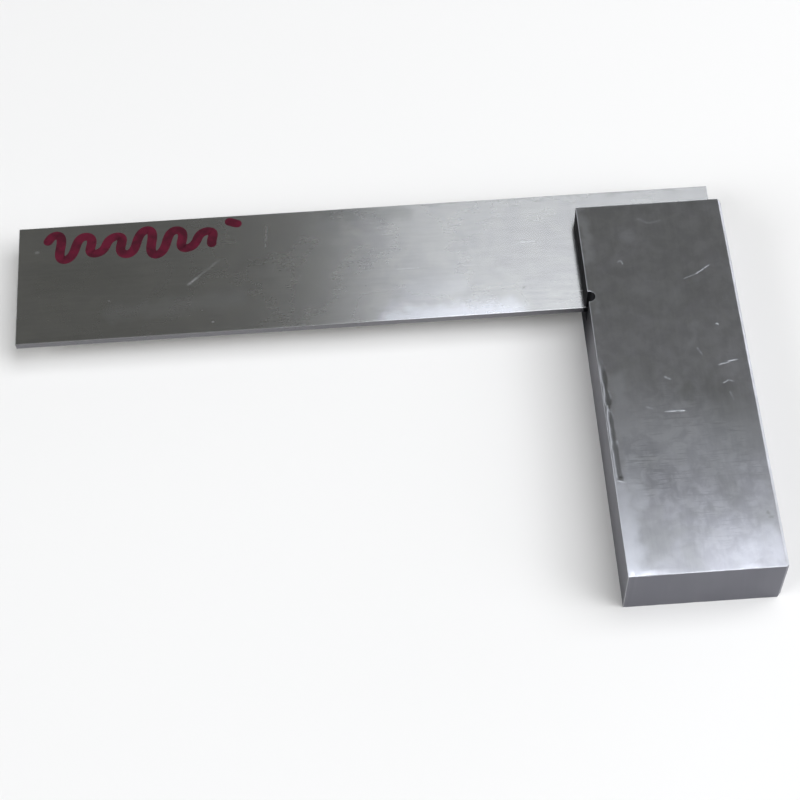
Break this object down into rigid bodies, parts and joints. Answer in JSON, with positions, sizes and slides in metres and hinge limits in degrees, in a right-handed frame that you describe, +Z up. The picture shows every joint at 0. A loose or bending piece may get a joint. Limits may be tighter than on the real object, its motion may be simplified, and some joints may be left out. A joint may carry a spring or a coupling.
{
  "type": "try square",
  "caption": "Solid steel try square: a thin flat blade set at mid-thickness in a slot across the end of a thick stock, held by flush rivets, with a relief notch at the inner corner.",
  "frame": {"origin": "centre of the bounding box, on the surface that the stock's underside rests on", "axes": "+X along the blade, from its tip towards the stock; +Y along the stock, from its near end towards the blade; +Z up, out of the stock's top face"},
  "size_m": [0.189, 0.1204, 0.0165],
  "materials": {
    "stock_steel": "surface-ground along its length, worn and lightly stained",
    "blade_steel": "fine brushed along its length, with light scratches",
    "rivet_steel": "ground flush with the stock"
  },
  "bodies": {
    "root": {"stock": "stock_steel", "blade": "blade_steel", "rivet_inner": "rivet_steel", "rivet_outer": "rivet_steel", "rivet_middle": "rivet_steel"}
  },
  "joints": []
}
